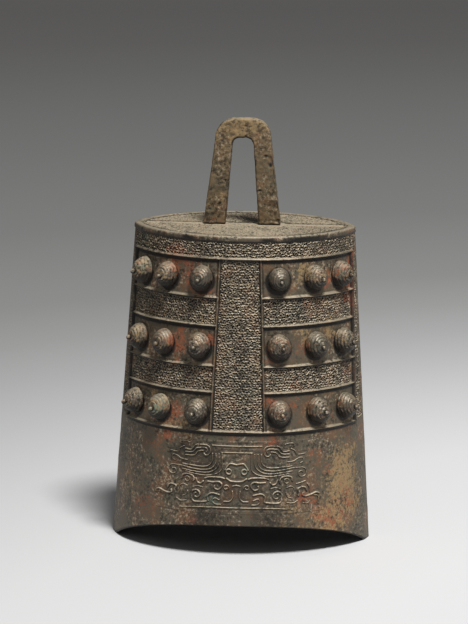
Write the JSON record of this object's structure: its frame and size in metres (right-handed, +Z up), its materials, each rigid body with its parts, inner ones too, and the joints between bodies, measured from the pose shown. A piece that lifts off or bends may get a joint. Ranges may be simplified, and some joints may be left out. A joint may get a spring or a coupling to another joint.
{
  "type": "bronze zhong bell",
  "caption": "Almond-section bronze bell without a clapper: flat crown, tall suspension loop, coiled bosses in framed rows and an arched mouth.",
  "frame": {"origin": "middle of the mouth, level with the two tips that the bell stands on", "axes": "+Z up through the crown and the loop, +X across the mouth from ridge to ridge, front face towards -Y"},
  "size_m": [0.178, 0.142, 0.2908],
  "materials": {
    "body_bronze": "cast bronze with a dark brown-grey patina, red and orange cuprite patches and green specks",
    "loop_bronze": "cast bronze, tan-brown patina with ochre and green crust",
    "boss_bronze": "cast bronze, dark grey patina worn bright on the coils"
  },
  "bodies": {
    "root": {"bell_body": "body_bronze", "suspension_loop": "loop_bronze", "boss_front_left_lower_inner": "boss_bronze", "boss_front_left_lower_centre": "boss_bronze", "boss_front_left_lower_outer": "boss_bronze", "boss_front_left_middle_inner": "boss_bronze", "boss_front_left_middle_centre": "boss_bronze", "boss_front_left_middle_outer": "boss_bronze", "boss_front_left_upper_inner": "boss_bronze", "boss_front_left_upper_centre": "boss_bronze", "boss_front_left_upper_outer": "boss_bronze", "boss_front_right_lower_inner": "boss_bronze", "boss_front_right_lower_centre": "boss_bronze", "boss_front_right_lower_outer": "boss_bronze", "boss_front_right_middle_inner": "boss_bronze", "boss_front_right_middle_centre": "boss_bronze", "boss_front_right_middle_outer": "boss_bronze", "boss_front_right_upper_inner": "boss_bronze", "boss_front_right_upper_centre": "boss_bronze", "boss_front_right_upper_outer": "boss_bronze", "boss_back_left_lower_inner": "boss_bronze", "boss_back_left_lower_centre": "boss_bronze", "boss_back_left_lower_outer": "boss_bronze", "boss_back_left_middle_inner": "boss_bronze", "boss_back_left_middle_centre": "boss_bronze", "boss_back_left_middle_outer": "boss_bronze", "boss_back_left_upper_inner": "boss_bronze", "boss_back_left_upper_centre": "boss_bronze", "boss_back_left_upper_outer": "boss_bronze", "boss_back_right_lower_inner": "boss_bronze", "boss_back_right_lower_centre": "boss_bronze", "boss_back_right_lower_outer": "boss_bronze", "boss_back_right_middle_inner": "boss_bronze", "boss_back_right_middle_centre": "boss_bronze", "boss_back_right_middle_outer": "boss_bronze", "boss_back_right_upper_inner": "boss_bronze", "boss_back_right_upper_centre": "boss_bronze", "boss_back_right_upper_outer": "boss_bronze"}
  },
  "joints": []
}
